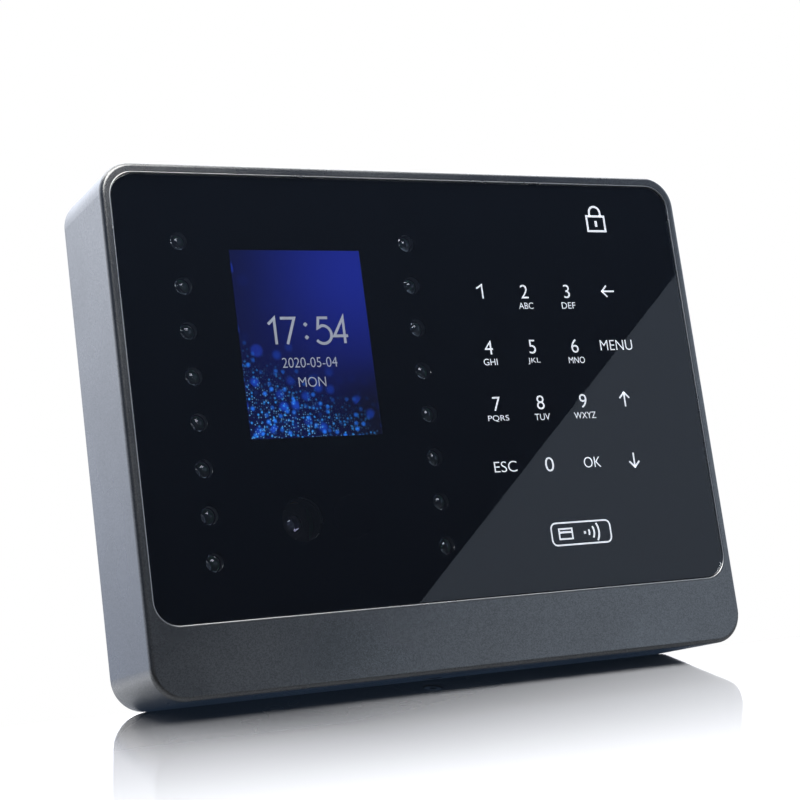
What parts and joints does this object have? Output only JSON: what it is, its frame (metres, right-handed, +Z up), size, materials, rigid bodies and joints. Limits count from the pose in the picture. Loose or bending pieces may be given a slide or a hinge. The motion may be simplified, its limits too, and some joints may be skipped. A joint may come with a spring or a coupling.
{
  "type": "face recognition access terminal",
  "caption": "Landscape wall or desk access terminal: black glass front with display, infrared lamps, camera windows and touch keys, deep satin grey housing, hook-on steel wall plate.",
  "frame": {"origin": "on the standing surface, under the middle of the box that holds the terminal and its plunger", "axes": "+X to the right as the user sees the front, +Y from the front to the back, +Z up"},
  "size_m": [0.2024, 0.0364, 0.157],
  "materials": {
    "housing_paint": "satin metallic grey paint on plastic",
    "bright_trim": "bright satin",
    "front_glass": "polished, tinted",
    "black_print": "matt",
    "foam_tape": "matt",
    "display": "lit",
    "white_plastic": "matt",
    "black_plastic": "matt",
    "cover_plastic": "fine grain",
    "lamp_resin": "clear, polished",
    "circuit_board": "solder resist",
    "flat_cable": "polyimide film",
    "white_cable": "film",
    "red_wire": "insulation",
    "sheet_steel": "zinc plated",
    "screw_steel": "zinc plated",
    "black_steel": "black oxide",
    "insert_brass": "machined",
    "lens": "coated",
    "relay_plastic": "moulded",
    "terminal_plastic": "moulded",
    "speaker_cone": "paper and film"
  },
  "bodies": {
    "terminal": {"front_housing": "housing_paint", "trim_ring": "bright_trim", "glass_panel": "front_glass", "graphic_film": "black_print", "panel_tape": "foam_tape", "lcd_panel": "display", "lcd_backlight": "white_plastic", "lcd_bracket": "sheet_steel", "lcd_ribbon": "flat_cable", "lcd_screws": "screw_steel", "touch_board": "circuit_board", "touch_ribbon": "white_cable", "led_board_left": "circuit_board", "led_board_right": "circuit_board", "leds_left": "lamp_resin", "leds_right": "lamp_resin", "led_baffle_left": "black_plastic", "led_baffle_right": "black_plastic", "led_leads": "red_wire", "led_screws": "screw_steel", "camera_hood": "black_plastic", "camera_board": "circuit_board", "image_sensors": "black_plastic", "lens_holder_left": "black_plastic", "lens_holder_right": "black_plastic", "lens_barrel_left": "black_plastic", "lens_barrel_right": "black_plastic", "lens_glass_left": "lens", "lens_glass_right": "lens", "camera_ribbon": "flat_cable", "camera_screws": "screw_steel", "main_board": "circuit_board", "board_connectors": "white_plastic", "processor_shield": "sheet_steel", "memory_chips": "black_plastic", "coin_cell": "screw_steel", "coin_cell_holder": "black_plastic", "relay": "relay_plastic", "board_screws": "screw_steel", "ethernet_jack": "sheet_steel", "usb_port": "sheet_steel", "power_jack": "black_plastic", "terminal_block": "terminal_plastic", "speaker": "speaker_cone", "speaker_gasket": "foam_tape", "tamper_switch": "black_plastic", "tamper_spring": "screw_steel", "reset_switch": "black_plastic", "case_inserts": "insert_brass", "rear_cover": "cover_plastic", "case_screws": "black_steel", "lock_screw": "screw_steel"},
    "wall_plate": {"wall_plate": "sheet_steel"},
    "tamper": {"tamper_plunger": "white_plastic"},
    "reset": {"reset_button": "white_plastic"}
  },
  "joints": [
    {"name": "lift_off", "type": "slide", "parent": "terminal", "child": "wall_plate", "axis": [0, 0, -1], "range_m": [0, 0.007]},
    {"name": "tamper_press", "type": "slide", "parent": "terminal", "child": "tamper", "axis": [0, -1, 0], "range_m": [0, 0.0015], "stiffness_N_per_m": 400, "springref_m": -0.001, "deforming": ["tamper_spring"]},
    {"name": "reset_press", "type": "slide", "parent": "terminal", "child": "reset", "axis": [0, 0, 1], "range_m": [0, 0.0005], "stiffness_N_per_m": 2000, "springref_m": -0.0002}
  ]
}
